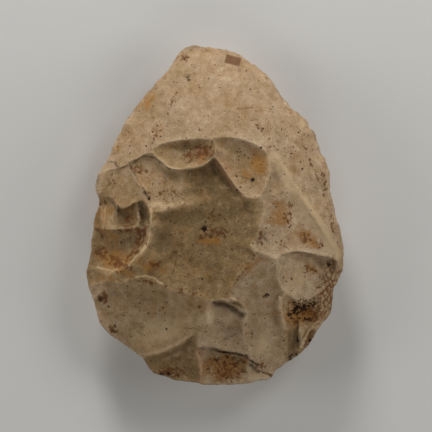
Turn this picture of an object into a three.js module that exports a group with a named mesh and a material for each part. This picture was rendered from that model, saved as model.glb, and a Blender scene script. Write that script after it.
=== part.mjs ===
// Flint hand axe, worked on both faces, lying on its flatter face with the tip towards +Y.
// Millimetres, +Z up. The origin is on the ground under the middle of its length and breadth.
import * as THREE from 'three';
import { mergeVertices } from 'three/addons/utils/BufferGeometryUtils.js';

// Driving dimensions
const length = 120;
const breadth = 91;
const edgeHeight = 14.5; // cutting edge above the ground
const upperDome = 21; // upper face above the edge
const lowerDome = 15.2; // lower face below the edge, before its high spot meets the ground
const domePower = 2.2; // 2 is a paraboloid, more is flatter on top
const domeOverhang = 1.8; // how far past the edge the domes would run out to nothing
const edgeRounding = 0.9; // how quickly a face closes onto the edge
const edgeSlope = 0.3; // the least slope a scar leaves beside the edge
const leastBody = 2; // the least height a scar leaves further in
const unstruck = 0.6; // what stands above the dome between scars
const crownPlace = new THREE.Vector2(2.3, 9); // both domes are highest here
const subdivisions = 30; // 8 (n + 1)^2 triangles

const undersideScars = 11;

// Outline, anticlockwise from the tip, in half breadths (x) and half lengths (y).
const outline = [
  [-0.21, 1], [-0.3, 0.93], [-0.48, 0.76], [-0.69, 0.56], [-0.79, 0.42], [-0.92, 0.23], [-0.92, 0.15],
  [-0.92, 0.08], [-0.94, -0.06], [-0.98, -0.24], [-1, -0.34], [-0.97, -0.45], [-0.93, -0.52], [-0.89, -0.65],
  [-0.77, -0.73], [-0.57, -0.83], [-0.53, -0.89], [-0.26, -0.97], [-0.02, -1], [0.23, -0.99], [0.41, -0.97],
  [0.53, -0.88], [0.69, -0.79], [0.82, -0.65], [0.9, -0.57], [0.91, -0.45], [0.98, -0.36], [1, -0.24],
  [0.98, -0.13], [0.94, -0.01], [0.9, 0.13], [0.88, 0.28], [0.81, 0.39], [0.78, 0.48], [0.72, 0.56],
  [0.61, 0.63], [0.5, 0.72], [0.39, 0.83], [0.21, 0.94], [0.08, 0.98], [-0.06, 1],
];

// Flake scars of the upper face, each an oval hollow. at is its middle. reach is half its length and half its
// width, with the length turned this many degrees from +X. deep is its depth, and round is the power of its
// hollow: 2 is a bowl, more is a flat floor with a steep side. wall is the same power on the side that faces
// the angle toward (90 is the tip), and lowered drops the whole scar.
const upperScars = [
  { name: 'tip', at: [-1, 43], reach: [19, 17], turned: 90, deep: 1.5, round: 2.5 },
  { name: 'left shoulder', at: [-29, 32], reach: [22, 10], turned: 55, deep: 1.3, round: 2.5 },
  { name: 'right side', at: [31, 22], reach: [40, 12], turned: 113, deep: 1.8, round: 2.2 },
  { name: 'left lobe', at: [-10.5, 21], reach: [12, 6], turned: 0, deep: 1.6, round: 2.4 },
  { name: 'right lobe', at: [9, 17], reach: [13, 9], turned: -50, deep: 2.2, round: 2.6 },
  { name: 'throat', at: [-1, 9], reach: [11, 7], turned: -20, deep: 1.9, round: 2, wall: 6, lowered: 0.3 },
  { name: 'ledge', at: [-15, 11], reach: [14, 8], turned: -10, deep: 2, round: 2.5, wall: 7, lowered: 0.5 },
  { name: 'left waist', at: [-33, 10], reach: [10, 7], turned: 0, deep: 1.6, round: 2.2, wall: 5,
    lowered: 0.3 },
  { name: 'left hollow', at: [-34, -7], reach: [13, 12], turned: 0, deep: 3.8, round: 2.2, wall: 7,
    lowered: 0.5 },
  { name: 'left nick', at: [-43, -22], reach: [5, 4], turned: 0, deep: 1, round: 2 },
  { name: 'lower left', at: [-25, -35], reach: [24, 14], turned: -8, deep: 2.6, round: 2, wall: 4 },
  { name: 'butt left', at: [-15, -53], reach: [13, 7], turned: 20, deep: 2.2, round: 2, wall: 6 },
  { name: 'butt middle', at: [4, -54], reach: [10, 7.5], turned: 0, deep: 3.2, round: 2, wall: 10,
    lowered: 0.8 },
  { name: 'lower middle', at: [17, -34], reach: [21, 9], turned: 95, deep: 2.4, round: 2.4 },
  { name: 'curl', at: [3, -38], reach: [9, 8], turned: 90, deep: 1.8, round: 2.2, wall: 9, lowered: 0.4 },
  { name: 'eye', at: [32, -20], reach: [11, 8.5], turned: 0, deep: 3.4, round: 2.2, wall: 8, toward: 70,
    lowered: 0.4 },
  { name: 'right waist', at: [27, -3], reach: [18, 9], turned: -50, deep: 1.8, round: 2.2, wall: 4,
    toward: 50 },
  { name: 'right nick', at: [30, -34], reach: [8, 6], turned: 0, deep: 2, round: 2.2, wall: 5 },
  { name: 'lower right', at: [28, -46], reach: [8, 5], turned: 80, deep: 2, round: 2 },
  { name: 'centre', at: [-3, -9], reach: [22, 20], turned: 0, deep: 3.6, round: 2.3, wall: 7 },
];

const turn = 2 * Math.PI;
const steps = 720;

// A value of a closed Catmull-Rom curve through evenly spaced values, at part (0 to 1) of the way round.
function aroundCurve(values, part) {
  const count = values.length;
  const place = (part - Math.floor(part)) * count;
  const i = Math.floor(place) % count;
  const t = place - Math.floor(place);
  const [a, b, c, d] = [-1, 0, 1, 2].map((k) => values[(i + k + count) % count]);
  const squared = 2 * a - 5 * b + 4 * c - d;
  const cubed = 3 * b - a - 3 * c + d;
  return 0.5 * (2 * b + (c - a) * t + squared * t * t + cubed * t ** 3);
}

// The outline's distance from the crown at evenly spaced angles.
function outlineRadii() {
  const points = outline.map(([x, y]) => new THREE.Vector3((x * breadth) / 2, (y * length) / 2, 0));
  const curve = new THREE.CatmullRomCurve3(points, true, 'catmullrom', 0.5);
  const found = curve.getPoints(steps * 3).slice(0, -1).map((point) => {
    const [x, y] = [point.x - crownPlace.x, point.y - crownPlace.y];
    return { angle: (Math.atan2(y, x) + turn) % turn, radius: Math.hypot(x, y) };
  });
  found.sort((first, second) => first.angle - second.angle);
  const last = found.at(-1);
  const ring = [
    { ...last, angle: last.angle - turn },
    ...found,
    { ...found[0], angle: found[0].angle + turn },
  ];
  let next = 1;
  return Array.from({ length: steps }, (_, i) => {
    const angle = (i * turn) / steps;
    while (ring[next].angle < angle) next += 1;
    const [before, after] = [ring[next - 1], ring[next]];
    const share = (angle - before.angle) / (after.angle - before.angle);
    return before.radius + share * (after.radius - before.radius);
  });
}

// The same radii with the notches averaged away, a little outside the edge: the domes follow this one.
function smoothedRadii(radii) {
  const spread = steps / 40;
  return radii.map((_, i) => {
    let sum = 0;
    let weights = 0;
    for (let k = -3 * spread; k <= 3 * spread; k += 1) {
      const weight = Math.exp(-0.5 * (k / spread) ** 2);
      sum += weight * radii[(i + k + steps) % steps];
      weights += weight;
    }
    return sum / weights + domeOverhang;
  });
}

const edgeRadii = outlineRadii();
const domeRadii = smoothedRadii(edgeRadii);

// A ring of larger scars round the underside, each a little different from the next.
const lowerScars = Array.from({ length: undersideScars }, (_, k) => {
  const angle = (k * turn) / undersideScars + 0.22 * Math.sin(2.4 * k);
  const out = (0.74 + 0.05 * Math.sin(5 * k)) * aroundCurve(edgeRadii, angle / turn);
  const size = 12.5 + 2.5 * Math.sin(1.7 * k + 1);
  return {
    name: `underside ${k + 1}`,
    at: [crownPlace.x + out * Math.cos(angle), crownPlace.y + out * Math.sin(angle)],
    reach: [size * 1.1, size],
    turned: 40 * k,
    deep: 2.4 + 0.6 * Math.sin(3.1 * k),
    round: 2.2,
  };
});

// The edge wanders a little up and down on its way round.
function edgeWave(angle) {
  return 0.9 * Math.sin(3 * angle + 0.6) + 0.6 * Math.sin(7 * angle + 2) + 0.35 * Math.sin(13 * angle);
}

// Height of one scar against the dome: negative inside it, rising past its outline.
function scarHeight(scar, x, y) {
  const [dx, dy] = [x - scar.at[0], y - scar.at[1]];
  const angle = Math.atan2(dy, dx);
  const along = angle - THREE.MathUtils.degToRad(scar.turned);
  const [longways, sideways] = [Math.cos(along) / scar.reach[0], Math.sin(along) / scar.reach[1]];
  const far = Math.hypot(dx, dy) * Math.hypot(longways, sideways);
  const facing = Math.cos(angle - THREE.MathUtils.degToRad(scar.toward ?? 90));
  const steep = THREE.MathUtils.clamp(0.15 + 1.25 * facing, 0, 1);
  const power = THREE.MathUtils.lerp(scar.round, scar.wall ?? scar.round, steep);
  const hollow = far < 1 ? far ** power - 1 : power * (far - 1);
  return scar.deep * hollow - (scar.lowered ?? 0);
}

// Height of a worked face above the edge at a share (0 to 1) of the way out at an angle.
function faceHeight(scars, dome, angle, share) {
  const part = angle / turn;
  const edge = aroundCurve(edgeRadii, part);
  const radius = share * edge;
  const x = crownPlace.x + radius * Math.cos(angle);
  const y = crownPlace.y + radius * Math.sin(angle);
  const domed = dome * (1 - (radius / aroundCurve(domeRadii, part)) ** domePower);
  const struck = Math.min(unstruck, ...scars.map((scar) => scarHeight(scar, x, y)));
  const inward = edge - radius;
  const height = Math.max(domed + struck, Math.min(edgeSlope * inward, leastBody));
  return height * (1 - Math.exp(-inward / edgeRounding));
}

// A sphere whose equator becomes the cutting edge, and whose halves become the two faces.
function axeGeometry() {
  const ball = new THREE.OctahedronGeometry(1, subdivisions);
  ball.deleteAttribute('normal');
  ball.deleteAttribute('uv');
  const geometry = mergeVertices(ball, 1e-5);
  const places = geometry.attributes.position;
  for (let i = 0; i < places.count; i += 1) {
    const up = places.getZ(i);
    const angle = (Math.atan2(places.getY(i), places.getX(i)) + turn) % turn;
    const share = Math.sqrt(1 - Math.abs(up));
    const radius = share * aroundCurve(edgeRadii, angle / turn);
    const edge = edgeHeight + edgeWave(angle) * share ** 5;
    const z = up > 0
      ? edge + faceHeight(upperScars, upperDome, angle, share)
      : Math.max(0, edge - faceHeight(lowerScars, lowerDome, angle, share));
    places.setXYZ(i, crownPlace.x + radius * Math.cos(angle), crownPlace.y + radius * Math.sin(angle), z);
  }
  return fitted(geometry);
}

// The geometry centred over the origin, at exactly the stated length and breadth.
function fitted(geometry) {
  geometry.computeBoundingBox();
  const middle = geometry.boundingBox.getCenter(new THREE.Vector3());
  const size = geometry.boundingBox.getSize(new THREE.Vector3());
  geometry.translate(-middle.x, -middle.y, 0);
  geometry.scale(breadth / size.x, length / size.y, 1);
  geometry.computeVertexNormals();
  return geometry;
}

const flint = new THREE.MeshStandardMaterial({
  color: 0x9a7f5e,
  roughness: 0.55,
  metalness: 0,
  flatShading: true,
});

const handAxe = new THREE.Mesh(axeGeometry(), flint);
handAxe.name = 'hand_axe';

const part = new THREE.Group();
part.add(handAxe);

export default part;
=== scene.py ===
# Flint hand axe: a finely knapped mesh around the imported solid, with its patina, stains and crust.
import math
import bpy
import numpy as np
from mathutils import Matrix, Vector


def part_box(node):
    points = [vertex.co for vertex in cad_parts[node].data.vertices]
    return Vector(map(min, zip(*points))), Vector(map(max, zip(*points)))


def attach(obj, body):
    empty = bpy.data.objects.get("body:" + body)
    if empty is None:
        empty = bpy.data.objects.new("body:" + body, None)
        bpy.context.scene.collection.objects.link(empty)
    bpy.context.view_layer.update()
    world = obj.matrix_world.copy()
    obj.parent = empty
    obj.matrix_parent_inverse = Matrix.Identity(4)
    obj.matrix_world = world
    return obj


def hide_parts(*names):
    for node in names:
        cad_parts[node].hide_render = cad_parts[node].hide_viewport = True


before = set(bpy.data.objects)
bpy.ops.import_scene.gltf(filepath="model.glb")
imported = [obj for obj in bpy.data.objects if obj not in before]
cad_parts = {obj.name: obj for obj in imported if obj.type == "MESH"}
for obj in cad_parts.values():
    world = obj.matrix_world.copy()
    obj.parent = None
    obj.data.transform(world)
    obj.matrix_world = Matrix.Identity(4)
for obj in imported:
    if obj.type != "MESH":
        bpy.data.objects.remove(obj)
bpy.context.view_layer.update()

# Form, in millimetres on an axe 120 long: x across, y towards the tip, z above the table
axe = {
    "crown": (2.3, 9),        # both faces are highest here
    "edgeHeight": 14.5,       # cutting edge above the table
    "upperDome": 21,          # worked face above the edge
    "lowerDome": 15.2,        # hidden face below the edge
    "domePower": 2.2,         # 2 is a paraboloid, more is flatter on top
    "domeOverhang": 1.8,      # how far outside the edge the domes would end
    "edgeRounding": 0.7,      # how quickly a face closes onto the edge
    "edgeSlope": 0.3,         # least slope that a scar leaves beside the edge
    "leastBody": 2,           # least height that a scar leaves further in
    "unstruck": 0.6,          # what may stand above the dome between scars
    "bareTone": 0.8,          # patina of what was never struck
    "ridgeWear": 0.1,         # rounding of the ridges between scars
    "ripple": 0.016,          # height of the waves in a scar
    "rippleLength": 2.9,
    "upperWarp": 0.28,        # how far scar outlines wander, on the worked face and on the hidden one
    "lowerWarp": 0.5,
    "upperGrain": ((9, 0.12, 21), (2.2, 0.045, 33)),  # roughness: size, height and seed
    "lowerGrain": ((9, 0.12, 61), (2.6, 0.04, 65)),
    "upperFlakes": (1.3, 5, 0.9),                     # flakes along the edge: least size, most size, depth
    "nibbles": (0.7, 2, 0.35),
    "lowerFlakes": (2, 7, 1.2),
    "lowerScars": 11,         # scars round the hidden face
    "hiddenStains": 26,       # stains of each kind on the hidden face
    "upperStep": 0.35,        # mesh spacing on the worked face
    "lowerStep": 0.64,        # mesh spacing on the hidden face
    "seed": 11,
}

axe["outline"] = [
    (-9.5, 60), (-3, 59.7), (3.5, 58.7), (9.5, 56.5), (18, 50), (23, 43), (27.5, 37.7), (32, 34),
    (33.3, 31), (35.5, 28.5), (37, 23.5), (40, 16.3), (41, 7.5), (43, -1), (44.7, -8), (45.5, -14.3),
    (44.5, -21.5), (41.7, -26.7), (41, -34), (37.5, -38.7), (31.5, -47.5), (24.7, -52.5), (21.5, -54.7),
    (18.5, -58), (10.5, -59.5), (-1, -60), (-12, -58.5), (-20.3, -56.2), (-24, -53.5), (-26, -50.2),
    (-35, -43.7), (-40.3, -39), (-42.7, -31.3), (-44.3, -26.7), (-45.5, -20.7), (-44.2, -13.5),
    (-43.2, -3.7), (-41.3, 4.7), (-42.3, 9.5), (-41.7, 14), (-38, 20), (-35.5, 26), (-31.5, 33.3),
    (-28, 38.7), (-22.3, 45.5), (-16.5, 52), (-13.5, 56.5),
]


def flake(at, depth, tone, edge, hollow=2.2, wall=None, facing=90, drop=0):
    # One scar: at is the deepest point, edge the outline, tone the patina from 0 (dark) to 1 (cream), and
    # hollow the power of the bowl (2 is round, more has a flat floor). wall is the same power on the side
    # that faces the angle facing (90 is the tip), and drop lowers the whole scar.
    return {"at": at, "depth": depth, "tone": tone, "edge": edge, "hollow": hollow, "wall": wall or hollow,
            "facing": facing, "drop": drop}


# Flake scars of the worked face
axe["scars"] = {
    "tip": flake((0, 42), 1.3, 0.8, [(-10.5, 62), (-11.5, 51), (-13, 43.5), (-18, 35), (-22, 23), (-17, 25),
        (-8, 26), (3, 27), (10, 26), (17, 23), (20, 27), (19.5, 34), (16, 43.5), (11.5, 51),
        (7.5, 62)], hollow=2.5),
    "leftShoulder": flake((-29.5, 31), 1.2, 0.78, [(-10.5, 62), (-11.5, 51), (-13, 43.5), (-18, 35),
        (-22, 23), (-27, 20), (-33.5, 16.5), (-35, 18.5), (-38.5, 19.5), (-44, 20), (-46, 27), (-39, 41),
        (-27, 55), (-18, 61)], hollow=2.5),
    "shoulderChip": flake((-39.5, 17.5), 0.6, 0.85, [(-38.5, 19.5), (-35, 18.5), (-33.5, 16.5), (-38, 16),
        (-41, 15), (-45, 15), (-43, 20)], hollow=2),
    "rightSide": flake((31, 23), 1.8, 0.82, [(7, 62.5), (9, 58), (12, 49.5), (16, 43.5), (19.5, 33.5),
        (19.5, 23), (23, 16.5), (31, 4), (43, -15), (51, -14), (49, 5), (43, 26.5), (36, 40.5), (26, 54),
        (16.5, 62)]),
    "leftLobe": flake((-10.5, 22), 2.4, 0.62, [(-22, 22), (-17, 25), (-8, 26), (-2, 26), (0.5, 23),
        (-0.5, 19.5), (-3.5, 17.5), (-7, 16), (-11.5, 15.5), (-15.5, 16.5), (-18.5, 18.5)], hollow=2.6),
    "rightLobe": flake((9.5, 17.5), 3.3, 0.72, [(-1, 26), (3, 27), (8, 26.5), (12, 25), (16.5, 22.5),
        (18.5, 18.5), (18.5, 14), (17, 9.5), (15.5, 6.5), (12, 5.5), (9.5, 6.5), (7.5, 9), (4.5, 13),
        (2, 17), (-0.5, 20), (0, 23)], hollow=2.6),
    "saddle": flake((21.5, 11.5), 1.2, 0.8, [(17, 22.5), (19.5, 23), (23, 16.5), (26.5, 10.5), (24, 8),
        (21, 5.5), (16.5, 5.5), (16, 7), (17.5, 9.5), (19, 14), (18.5, 18.5)], hollow=2),
    "rightWaist": flake((26, -4.5), 2, 0.9, [(16.5, 5.5), (21, 6), (24, 8), (26.5, 10.5), (31, 4),
        (43, -15), (35, -14), (30, -13), (25.5, -13.5), (22.5, -15), (18.5, -14), (15, -12.5),
        (12.5, -10.5), (14, -7), (15, -1)], wall=4, facing=50),
    "ledge": flake((-18, 10), 2, 0.76, [(-30, 17.5), (-27, 19.5), (-24.5, 21), (-22, 21), (-20.5, 19.5),
        (-18.5, 18), (-15.5, 16), (-11.5, 15.5), (-7, 15.5), (-3, 13), (-3.5, 7), (-7, 4), (-12.5, 3),
        (-19.5, 1.5), (-23, 1.5), (-23.5, 4), (-24, 8), (-27, 12.5)], hollow=2.4, wall=6, drop=0.5),
    "throat": flake((-0.5, 10), 2.6, 0.42, [(-12, 15), (-7, 16), (-3.5, 17.5), (-0.5, 19.5), (2, 17),
        (4.5, 13), (7.5, 9), (10, 6), (8, 1), (1, -3), (-6, 0), (-11, 7)], hollow=2, wall=8, drop=0.6),
    "leftWaist": flake((-33, 10), 1.2, 0.7, [(-33.5, 16.5), (-30, 17.5), (-27, 12.5), (-24, 8), (-23.5, 4),
        (-25.5, 3), (-27.5, 4), (-30, 2.5), (-33.5, 2), (-35, 4), (-36.5, 6), (-39, 5.5), (-40, 9),
        (-39.5, 13), (-38, 16)], wall=4),
    "waistChip": flake((-42.5, 11.5), 0.8, 0.85, [(-40.5, 15), (-39, 16), (-39.5, 12.5), (-40, 8.5),
        (-44, 7.5), (-48, 11.5), (-45, 16.5)], hollow=2),
    "leftHollow": flake((-34, -11), 3, 0.56, [(-42, -4.5), (-39, -5.3), (-33.5, -5), (-28, -4.2), (-23, -5),
        (-23, -8), (-25, -11.5), (-30, -16.5), (-37, -19.3), (-43, -17.5), (-50, -16),
        (-50, -7)], hollow=2.4, wall=5, facing=80, drop=1.4),
    "hollowGap": flake((-25, -0.5), 2.4, 0.4, [(-27, 3.8), (-24.4, 4.2), (-22.7, 0), (-22.6, -5),
        (-24.5, -6.5), (-26.6, -4), (-26.8, 0)], hollow=2, drop=0.9),
    "olivePocket": flake((-30.2, -0.5), 1.7, 0.5, [(-34, 3.5), (-33.5, 2.2), (-30, 2.8), (-27.5, 4.2),
        (-26.5, 1.5), (-26.4, -1.5), (-27.5, -4.5), (-30.5, -5), (-33.2, -4),
        (-34.2, -0.5)], wall=5, drop=1.1),
    "tanPocket": flake((-37.3, 0.8), 0.9, 0.66, [(-41.5, 5.5), (-39, 5.7), (-36.5, 6), (-35, 4.3),
        (-34.3, 0), (-33.4, -4), (-36, -5), (-39.5, -5), (-40.3, -1),
        (-41, 2.5)], hollow=2, wall=4, drop=0.9),
    "brownPocket": flake((-42, -0.5), 1.4, 0.45, [(-41.3, 5.3), (-40.5, 2), (-39.8, -1), (-39.8, -4.8),
        (-43, -5), (-48, -4), (-48, 4), (-44, 6)], hollow=2, drop=0.6),
    "leftNick": flake((-43.5, -21.5), 1, 0.6, [(-42.5, -18), (-39.5, -19.5), (-37, -19.5), (-37, -21.5),
        (-39.5, -23.5), (-42, -24.5), (-48, -26), (-51, -21), (-48, -17.5)], hollow=2),
    "cornerChip": flake((-44, -27), 0.8, 0.8, [(-42, -24.5), (-39.5, -23.5), (-39.5, -26), (-41.5, -28.5),
        (-43.5, -29.5), (-48, -30), (-49, -26)], hollow=2),
    "belt": flake((-31, -20), 0.6, 0.56, [(-37, -19.5), (-33.5, -18.5), (-30, -16.5), (-24.5, -12.5),
        (-22.5, -15), (-23, -18.5), (-24.5, -21), (-30, -23), (-33, -23.5), (-38.5, -23.5)], hollow=2),
    "lowerLeft": flake((-25, -35), 2.2, 0.74, [(-39.5, -23.5), (-36.5, -23), (-33, -23.5), (-27, -22),
        (-24, -22), (-21, -23), (-15.5, -26), (-7, -28), (-3.5, -29.5), (-1.5, -32), (-1, -36.5),
        (-2.5, -40), (-6.5, -41.5), (-12, -45), (-19.5, -48.5), (-26.5, -50.5), (-30, -55.5), (-41, -49.5),
        (-48.5, -39), (-48.5, -30), (-43.5, -29.5), (-41.5, -28.5), (-39.5, -26)], wall=2.6),
    "buttLeft": flake((-16, -53.5), 2.8, 0.5, [(-26.5, -50.5), (-19.5, -48.5), (-12, -45), (-7, -41.5),
        (-6, -45), (-5, -53), (-4.5, -59.5), (-5, -65), (-18, -65), (-30, -60), (-31, -54)], wall=5),
    "buttMiddle": flake((3.5, -54), 3.2, 0.84, [(-6, -46.5), (0, -46.5), (3.5, -47.5), (7, -48), (10, -49),
        (11.5, -50.5), (11, -53), (11.5, -57.5), (12, -65), (3.5, -66), (-4, -65), (-4.5, -59.5),
        (-5, -53)], wall=14, drop=1.5),
    "buttChip": flake((14.5, -56), 1.6, 0.95, [(11.5, -50.5), (13.5, -52), (15, -54), (17.5, -56),
        (20, -58), (18.5, -64), (12, -64), (11.5, -58), (10.5, -53.5)], wall=6, facing=60, drop=0.3),
    "lowerMiddle": flake((15, -32), 2.4, 0.82, [(13, -14), (15, -13), (18.5, -14), (21.5, -16),
        (21.5, -19.5), (23, -24.5), (24.5, -26.5), (22.5, -29.5), (23, -34), (24, -40), (25, -46),
        (26, -52), (27, -58), (21, -62.5), (18.5, -59.5), (17.5, -56), (14, -51), (12, -49.5), (10, -47.5),
        (9.5, -42.5), (9.5, -35), (10, -32.5), (8, -30), (5, -27), (7, -22.5), (9.5, -19.5),
        (11, -16.5)], wall=3),
    "eye": flake((33, -17), 4, 0.9, [(21.5, -16), (23, -14), (26.5, -13), (30, -13), (35, -14), (39.5, -15),
        (42.5, -16), (42, -19), (40.5, -21.5), (38, -24.5), (35.5, -27), (33, -29), (31, -29.5), (29, -31),
        (25, -27), (23, -24.5), (21.5, -22), (21, -18.5)], wall=9, facing=70, drop=0.6),
    "rightNick": flake((30, -34), 2.6, 0.7, [(22.5, -29.5), (25, -27), (29, -31), (31, -29.5), (33, -29),
        (35.5, -27), (37, -29.5), (37, -34), (35, -38), (32, -39.5), (29, -38), (26.5, -39.5), (24, -40),
        (23, -36.5)], wall=4),
    "rightCrust": flake((43, -26.5), 1.4, 0.75, [(43, -15), (42, -19), (40.5, -21.5), (38, -24.5),
        (35.5, -27), (37, -29.5), (37, -34), (35, -38), (32.5, -40), (35.5, -42.5), (45.5, -42.5),
        (54, -30), (53, -14)], hollow=2),
    "lowerRight": flake((27.5, -44), 1.6, 0.5, [(24, -40), (26.5, -39.5), (29, -38), (30, -42.5), (30, -46),
        (29, -48.5), (26.5, -50), (24, -52), (25, -46)], hollow=2),
    "rightCorner": flake((29.5, -51), 1.2, 0.45, [(30, -46), (28, -47.5), (25.5, -49), (24, -52),
        (24, -57.5), (31.5, -57), (35.5, -49)], hollow=2),
    "leaf": flake((33, -44), 1.2, 0.4, [(33.5, -39.5), (35.5, -41.5), (36, -45), (32.5, -48.5), (30, -46.5),
        (31, -43.5), (32, -41)], hollow=2, drop=0.3),
    "centre": flake((-3.5, -8), 3.5, 0.54, [(-23, 1.5), (-19.5, 1.5), (-12.5, 3), (-7, 4), (0, 7), (7, 7.5),
        (10.5, 6), (15, 5), (16, 2), (15.5, -3.5), (14.5, -7.5), (12, -11), (13, -14), (9.5, -19.5),
        (7, -22.5), (5, -27), (2.5, -29.5), (-3.5, -29), (-7, -28), (-12, -27), (-18.5, -24.5),
        (-24, -21.5), (-23, -18.5), (-22.5, -15), (-24, -11.5), (-22.5, -9),
        (-22, -3.5)], hollow=2.3, wall=3.5),
    "curl": flake((3.5, -38.5), 2, 0.84, [(-1, -30), (2.5, -29.5), (6, -31), (9.5, -33.5), (9.5, -38),
        (9.5, -42.5), (10, -47.5), (3.5, -47.5), (-3.5, -46), (-4.5, -42.5), (-2.5, -40), (-1, -36.5),
        (-1.5, -32)], wall=14, drop=1.1),
    "curlBowl": flake((2.2, -32), 2.5, 1, [(-1, -30.4), (2.5, -29.9), (6, -31.3), (9.3, -33.8),
        (8.6, -36.5), (4, -37.6), (-0.5, -36.2), (-1.9, -33)], hollow=2, wall=5, drop=2.2),
    "curlSlot": flake((8, -31.3), 1.3, 0.4, [(4.5, -29.8), (7.5, -30), (9.5, -31), (11, -33), (9, -33),
        (6.5, -31.5)], hollow=2, wall=4),
    "curlStep": flake((5, -45), 0.8, 0.84, [(-2.5, -44.5), (1, -43.5), (5, -42), (9, -40.5), (10, -44),
        (10, -47.5), (7, -48), (3.5, -47.5), (-1, -46.5)], hollow=2, wall=5, drop=0.3),
}

# Remnants left standing inside or between scars: the depth is how much they sag, and the drop lifts them
axe["remnants"] = {
    "sliver": flake((23, -34.5), 0, 0, [(21.7, -28.7), (22.5, -28.7), (23.6, -34), (25, -40), (24, -40.3),
        (22.4, -35)], hollow=2, drop=-0.5),
    "fin": flake((31, -41.5), 0.4, 0, [(29, -37.5), (32, -39), (32.5, -41), (31, -43.5), (30.2, -46),
        (29.6, -42)], hollow=2, drop=-0.9),
}

# Where the ridges between scars are worn or faint: x, y, how far that reaches, and how soft they are
axe["faintRidges"] = [
    (16, 42, 9, 1), (-17, 38, 9, 0.6), (28, 8, 10, 1.3), (-5, 9, 7, 2.6), (16, 2, 7, 1.2), (8, -21, 5, 0.5),
    (0, -28, 7, 0.5), (22, 14, 6, 0.8), (-3, -36, 6, 0.8), (9.5, -40, 5, 0.6), (-11, 3.5, 7, 1.4),
]

# Rough broken stone: x, y, half width, half height, and how far it stands out
axe["roughPlaces"] = [
    (41, -27, 6, 13, 0.5), (4, -56, 8, 5, 0.55), (-34, -14, 8, 4, 0.25), (-16, -56.5, 8, 2.6, 0.4),
    (30, -34, 7, 5, 0.35), (27.5, -50, 5, 3.5, 0.4), (-37, 1, 5, 5, 0.2), (14, -58, 5, 3, 0.3),
]

# Pits: x, y, radius, depth
axe["pits"] = [
    (-3.7, -4.6, 1.5, 0.5), (12.9, 12.2, 0.8, 0.35), (-9.4, 47.6, 1.5, 0.16), (17.5, -27.9, 1, 0.3),
    (-13.4, 46.4, 0.5, 0.2), (-12, 54.5, 1, 0.3), (-10.6, 55.8, 0.8, 0.25), (28, 25, 0.7, 0.25),
    (31, 17, 0.8, 0.25), (33.5, 12, 0.7, 0.2), (-1.6, -7.5, 0.8, 0.3), (-19, -12.7, 0.7, 0.3),
]

# Cracks and thin steps: half width, depth, then the points they run through
axe["cracks"] = [
    (0.3, 0.25, [(-30, 17.5), (-27, 12.5), (-24, 8), (-22.8, 6)]),
    (0.22, 0.14, [(8, 36.7), (9.7, 37), (12.9, 37.4)]),
    (0.2, 0.12, [(12.2, 32.8), (14.7, 33.2)]),
    (0.24, 0.14, [(-13.2, -12.4), (-13.6, -16), (-14.6, -20)]),
    (0.22, 0.12, [(-10.8, -39.2), (-7, -39.4), (-3, -40.4)]),
    (0.25, 0.2, [(17.3, -6), (15.2, -8.6), (14.3, -9.8)]),
    (0.2, 0.15, [(12.9, 12.2), (11, 12.6), (8.6, 13.4)]),
    (0.25, 0.2, [(16.5, -55), (18.4, -56), (20, -56.6)]),
]

fullTurn = 2 * math.pi
tableSize = 1440              # outlines are tables of the radius at this many angles
tableAngles = np.linspace(-np.pi, np.pi, tableSize, endpoint=False)


def closedCurve(points, perSpan=12):
    # closed Catmull-Rom curve through the points
    points = np.array(points, float)
    t = np.linspace(0, 1, perSpan, endpoint=False)[None, :, None]
    a, b, c, d = (np.roll(points, shift, 0)[:, None, :] for shift in (1, 0, -1, -2))
    curve = 0.5 * (2*b + (c - a)*t + (2*a - 5*b + 4*c - d)*t**2 + (3*b - a - 3*c + d)*t**3)
    return curve.reshape(-1, 2)


def radiiAround(points, centre):
    # the closed curve's distance from a centre, at each angle of the table
    curve = closedCurve(points) - np.array(centre, float)
    angle = np.arctan2(curve[:, 1], curve[:, 0])
    order = np.argsort(angle)
    return np.interp(tableAngles, angle[order], np.hypot(*curve.T)[order], period=fullTurn)


def softened(radii, degrees):
    # the table averaged over a bell of this half width
    half = round(degrees * 3 * tableSize / 360)
    bell = np.exp(-4.5 * (np.arange(-half, half + 1) / half)**2)
    return np.convolve(np.r_[radii[-half:], radii, radii[:half]], bell / bell.sum(), "valid")


def lookUp(radii, angle):
    return np.interp(angle, tableAngles, radii, period=fullTurn)


def polar(x, y, at):
    return np.arctan2(y - at[1], x - at[0]), np.hypot(x - at[0], y - at[1])


def wander(x, y, size, seed):
    # gradient noise from about -1 to 1, in blobs of this size
    u, v = x / size, y / size
    i, j = np.floor(u), np.floor(v)
    f, g = u - i, v - j

    def pull(a, b):
        turn = np.sin((i + a)*127.1 + (j + b)*311.7 + seed*74.7) * 43758.5453
        turn = (turn - np.floor(turn)) * fullTurn
        return np.cos(turn)*(f - a) + np.sin(turn)*(g - b)

    s, t = (q*q*q*(q*(6*q - 15) + 10) for q in (f, g))
    low = pull(0, 0)*(1 - s) + pull(1, 0)*s
    high = pull(0, 1)*(1 - s) + pull(1, 1)*s
    return (low*(1 - t) + high*t) * 1.5


def roughness(x, y, size, seed, octaves=4, fade=0.55):
    total, weight = 0, 1
    for k in range(octaves):
        total = total + weight*wander(x, y, size / 2**k, seed + 13*k)
        weight *= fade
    return total


def spot(x, y, at, across, along=None, turn=0):
    # 1 in the middle of an oval, falling to 0 outside it
    dx, dy = x - at[0], y - at[1]
    c, s = math.cos(math.radians(turn)), math.sin(math.radians(turn))
    return np.exp(-1.6 * (((dx*c + dy*s) / across)**2 + ((dy*c - dx*s) / (along or across))**2))


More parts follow.
